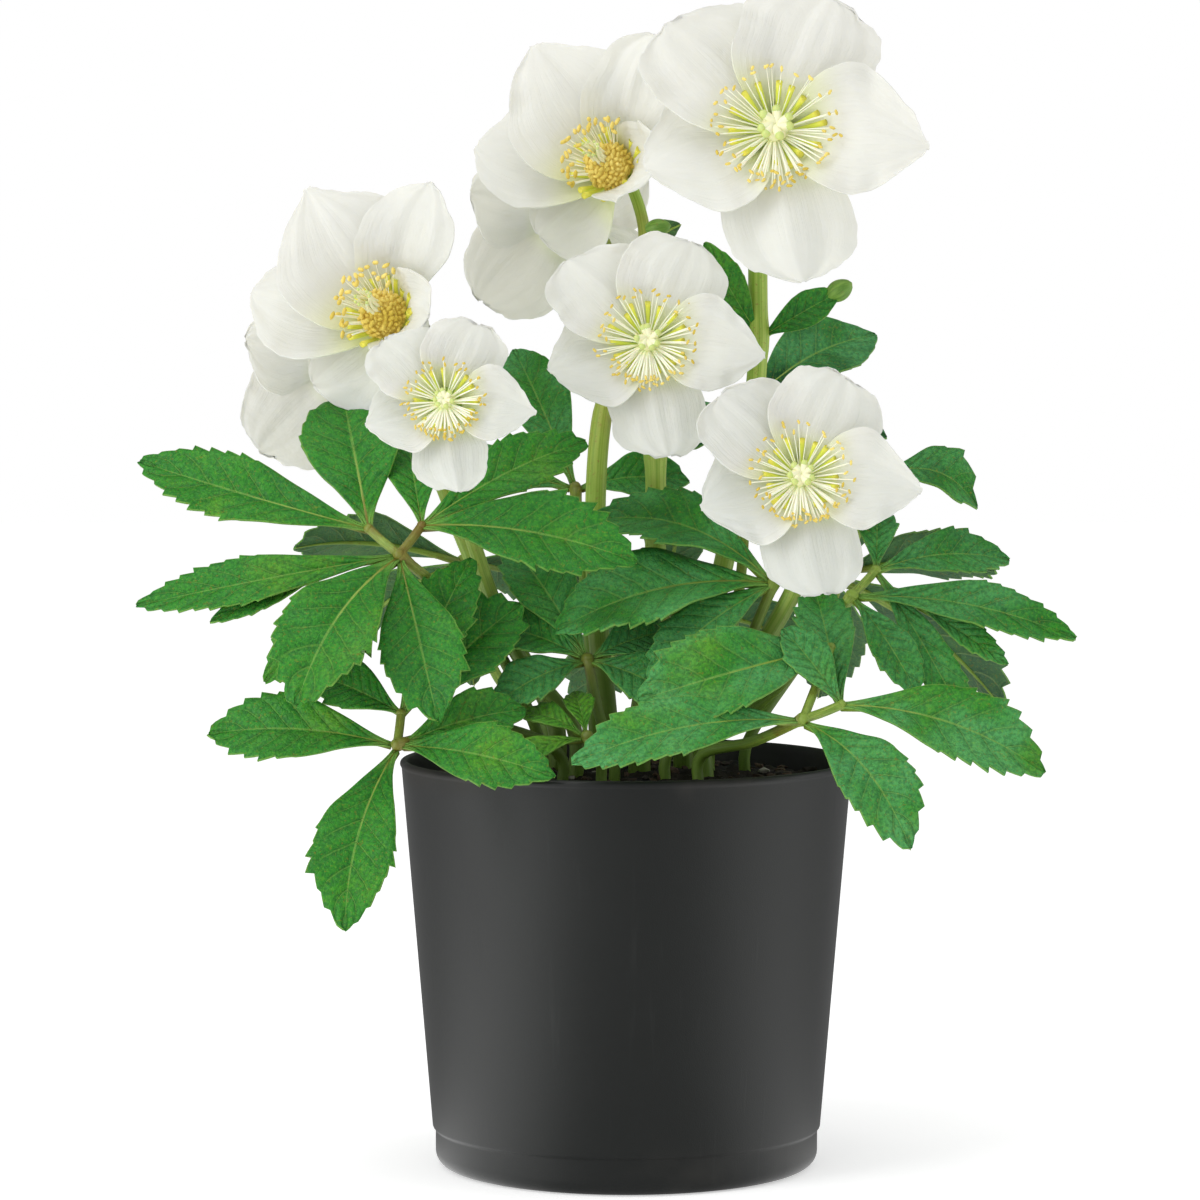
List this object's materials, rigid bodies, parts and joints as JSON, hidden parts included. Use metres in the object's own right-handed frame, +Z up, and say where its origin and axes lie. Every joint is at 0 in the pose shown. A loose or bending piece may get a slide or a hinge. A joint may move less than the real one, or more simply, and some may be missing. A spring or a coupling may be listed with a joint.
{
  "type": "hellebore plant",
  "caption": "White-flowered hellebore with serrated, fan-shaped green leaves and fleshy stems, rooted in soil in a round, tapered charcoal pot.",
  "frame": {"origin": "centre of the pot's flat underside, on the surface that it stands on", "axes": "+Z up along the pot's axis, -Y towards the plant's front, +X to the right as seen from the front"},
  "size_m": [0.2847, 0.1982, 0.3601],
  "materials": {
    "pot": "satin",
    "soil": "matte",
    "stem": "satin",
    "leaf": "satin",
    "sepal": "matte",
    "stamen": "matte"
  },
  "bodies": {
    "root": {"pot": "pot", "soil": "soil", "flower_stem_top_right": "stem", "flower_stem_middle": "stem", "flower_stem_left_front": "stem", "flower_stem_right_front": "stem", "flower_stem_left": "stem", "flower_stem_top_left": "stem", "leaf_left_upper": "leaf", "leaf_left_lower": "leaf", "leaf_right_upper": "leaf", "leaf_right_lower": "leaf", "leaf_front": "leaf", "leaf_centre": "leaf", "leaf_mid_left": "leaf", "leaf_right_rear": "leaf", "leaf_right": "leaf", "leaf_rear_left": "leaf", "leaf_rear": "leaf", "leaf_rear_right": "leaf", "leaf_young_front": "leaf", "sepals_top_right": "sepal", "stamens_top_right": "stamen", "sepals_middle": "sepal", "stamens_middle": "stamen", "sepals_left_front": "sepal", "stamens_left_front": "stamen", "sepals_right_front": "sepal", "stamens_right_front": "stamen", "sepals_left": "sepal", "stamens_left": "stamen", "sepals_left_rear": "sepal", "stamens_left_rear": "stamen", "sepals_top_left": "sepal", "stamens_top_left": "stamen", "sepals_top_left_rear": "sepal", "stamens_top_left_rear": "stamen"}
  },
  "joints": []
}
